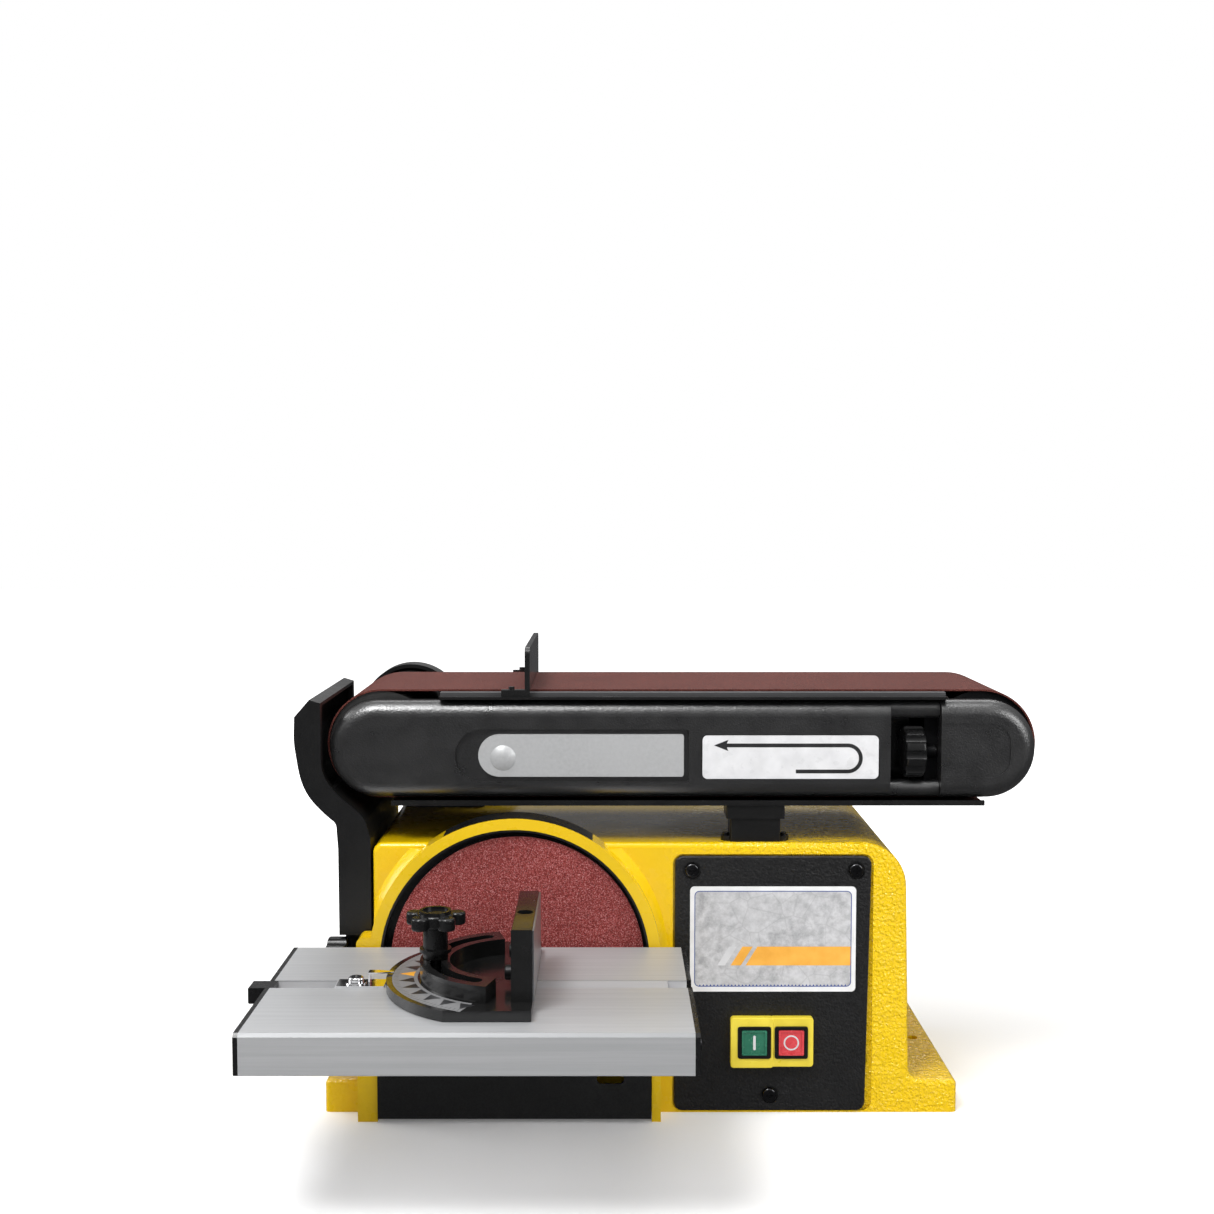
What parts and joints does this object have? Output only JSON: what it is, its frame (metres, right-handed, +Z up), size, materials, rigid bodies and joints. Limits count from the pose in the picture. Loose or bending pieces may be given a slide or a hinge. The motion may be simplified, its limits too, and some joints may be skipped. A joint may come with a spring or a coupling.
{
  "type": "belt and disc sander",
  "caption": "Bench belt and disc sander: cast base, tilting belt arm, disc with tilting slotted table, mitre gauge and push-button switch.",
  "frame": {"origin": "on the bench plane, midway between the two bench bolt holes", "axes": "+Z up, -Y towards the user (the disc faces -Y), +X towards the belt arm's free end"},
  "size_m": [0.4523, 0.343, 0.281],
  "materials": {
    "hammered_yellow": "hammered gloss paint",
    "black_plastic": "fine moulded texture",
    "black_metal": "satin black paint",
    "table_aluminium": "brushed along its length",
    "cast_aluminium": "cast and machined",
    "steel": "zinc plated",
    "dark_screw": "black oxide",
    "disc_abrasive": "red grit on cloth",
    "belt_abrasive": "maroon grit on cloth",
    "rubber": "matt",
    "copper_winding": "varnished wire",
    "silver_panel": "satin silver",
    "nameplate_print": "printed film",
    "switch_yellow": "moulded",
    "button_green": "moulded",
    "button_red": "moulded"
  },
  "bodies": {
    "base": {"base_casting": "hammered_yellow", "bottom_plate": "black_metal", "base_fasteners": "dark_screw", "disc_guard": "black_metal", "control_panel": "black_plastic", "nameplate": "nameplate_print", "switch_frame": "switch_yellow", "switch_body": "black_plastic", "switch_bezels": "black_plastic", "button_springs": "steel", "motor_shell": "black_metal", "motor_stator": "copper_winding", "motor_end_bells": "cast_aluminium", "shaft_bearings": "steel", "capacitor": "black_plastic", "cord_gland": "black_plastic", "drive_belt": "rubber", "belt_cover": "black_plastic", "pedestal": "black_metal", "dust_hood": "black_plastic", "dust_port": "black_plastic", "rest_post": "black_plastic"},
    "start_button": {"start_button": "button_green"},
    "stop_button": {"stop_button": "button_red"},
    "motor_spindle": {"motor_rotor": "cast_aluminium", "motor_shaft": "steel", "cooling_fan": "black_plastic", "sanding_disc": "cast_aluminium", "disc_paper": "disc_abrasive", "motor_pulley": "cast_aluminium"},
    "drum_spindle": {"drum_pulley": "cast_aluminium", "drum_shaft": "steel", "drive_drum": "rubber"},
    "belt_arm": {"arm_frame": "black_metal", "platen": "steel", "lower_tray": "black_metal", "front_cover": "black_plastic", "end_cap": "black_plastic", "inlay_panel": "silver_panel", "direction_label": "silver_panel", "sanding_belt": "belt_abrasive", "work_stop": "black_metal", "carriage_guide": "cast_aluminium", "tension_spring": "steel"},
    "idler_slide": {"idler_carriage": "steel"},
    "idler": {"idler_roller": "cast_aluminium"},
    "tension_lever": {"tension_lever": "black_metal"},
    "tracking_knob": {"tracking_knob": "black_plastic"},
    "table": {"table_top": "table_aluminium", "table_end_caps": "black_plastic", "table_screws": "dark_screw", "table_brackets": "black_metal"},
    "table_lock_knob": {"table_lock_knob": "black_plastic"},
    "miter_slide": {"miter_bar": "steel", "miter_pointer": "steel"},
    "miter_head": {"miter_head": "black_plastic", "miter_scale": "silver_panel", "miter_fence": "black_plastic", "fence_face": "steel"},
    "miter_knob": {"miter_knob": "black_plastic"}
  },
  "joints": [
    {"name": "start_press", "type": "slide", "parent": "base", "child": "start_button", "axis": [0, 1, 0], "range_m": [0, 0.003], "stiffness_N_per_m": 300, "springref_m": -0.002},
    {"name": "stop_press", "type": "slide", "parent": "base", "child": "stop_button", "axis": [0, 1, 0], "range_m": [0, 0.003], "stiffness_N_per_m": 300, "springref_m": -0.002},
    {"name": "motor_spin", "type": "hinge", "parent": "base", "child": "motor_spindle", "pos_m": [-0.075, 0, 0.0956], "axis": [0, 1, 0], "continuous": true},
    {"name": "drum_spin", "type": "hinge", "parent": "base", "child": "drum_spindle", "pos_m": [-0.158, 0, 0.2221], "axis": [0, 1, 0], "continuous": true},
    {"name": "arm_tilt", "type": "hinge", "parent": "base", "child": "belt_arm", "pos_m": [-0.158, 0, 0.2221], "axis": [0, -1, 0], "range_deg": [0, 90]},
    {"name": "tension_travel", "type": "slide", "parent": "belt_arm", "child": "idler_slide", "axis": [1, 0, 0], "range_m": [-0.0055, 0], "deforming": ["tension_spring"]},
    {"name": "idler_spin", "type": "hinge", "parent": "idler_slide", "child": "idler", "pos_m": [0.204, 0, 0.2221], "axis": [0, 1, 0], "continuous": true},
    {"name": "lever_turn", "type": "hinge", "parent": "belt_arm", "child": "tension_lever", "pos_m": [0.105, 0.05, 0.2221], "axis": [0, -1, 0], "range_deg": [0, 90]},
    {"name": "tracking_turn", "type": "hinge", "parent": "idler_slide", "child": "tracking_knob", "pos_m": [0.162, -0.061, 0.2175], "axis": [1, 0, 0], "range_deg": [-180, 180]},
    {"name": "table_tilt", "type": "hinge", "parent": "base", "child": "table", "pos_m": [-0.1, -0.101, 0.074], "axis": [1, 0, 0], "range_deg": [0, 45]},
    {"name": "table_lock_turn", "type": "hinge", "parent": "base", "child": "table_lock_knob", "pos_m": [-0.18, -0.0704, 0.091], "axis": [1, 0, 0], "range_deg": [0, 360]},
    {"name": "miter_travel", "type": "slide", "parent": "table", "child": "miter_slide", "axis": [1, 0, 0], "range_m": [-0.03, 0.08]},
    {"name": "miter_swing", "type": "hinge", "parent": "miter_slide", "child": "miter_head", "pos_m": [-0.07, -0.163, 0.11], "axis": [0, 0, 1], "range_deg": [-60, 60]},
    {"name": "miter_lock_turn", "type": "hinge", "parent": "miter_slide", "child": "miter_knob", "pos_m": [-0.1148, -0.163, 0.13], "axis": [0, 0, 1], "range_deg": [0, 360]}
  ],
  "couplings": [
    {"joint": "drum_spin", "follows": "motor_spin", "ratio": 0.66667},
    {"joint": "idler_spin", "follows": "motor_spin", "ratio": 0.66667},
    {"joint": "lever_turn", "follows": "tension_travel", "rad_per_m": -285.5}
  ]
}
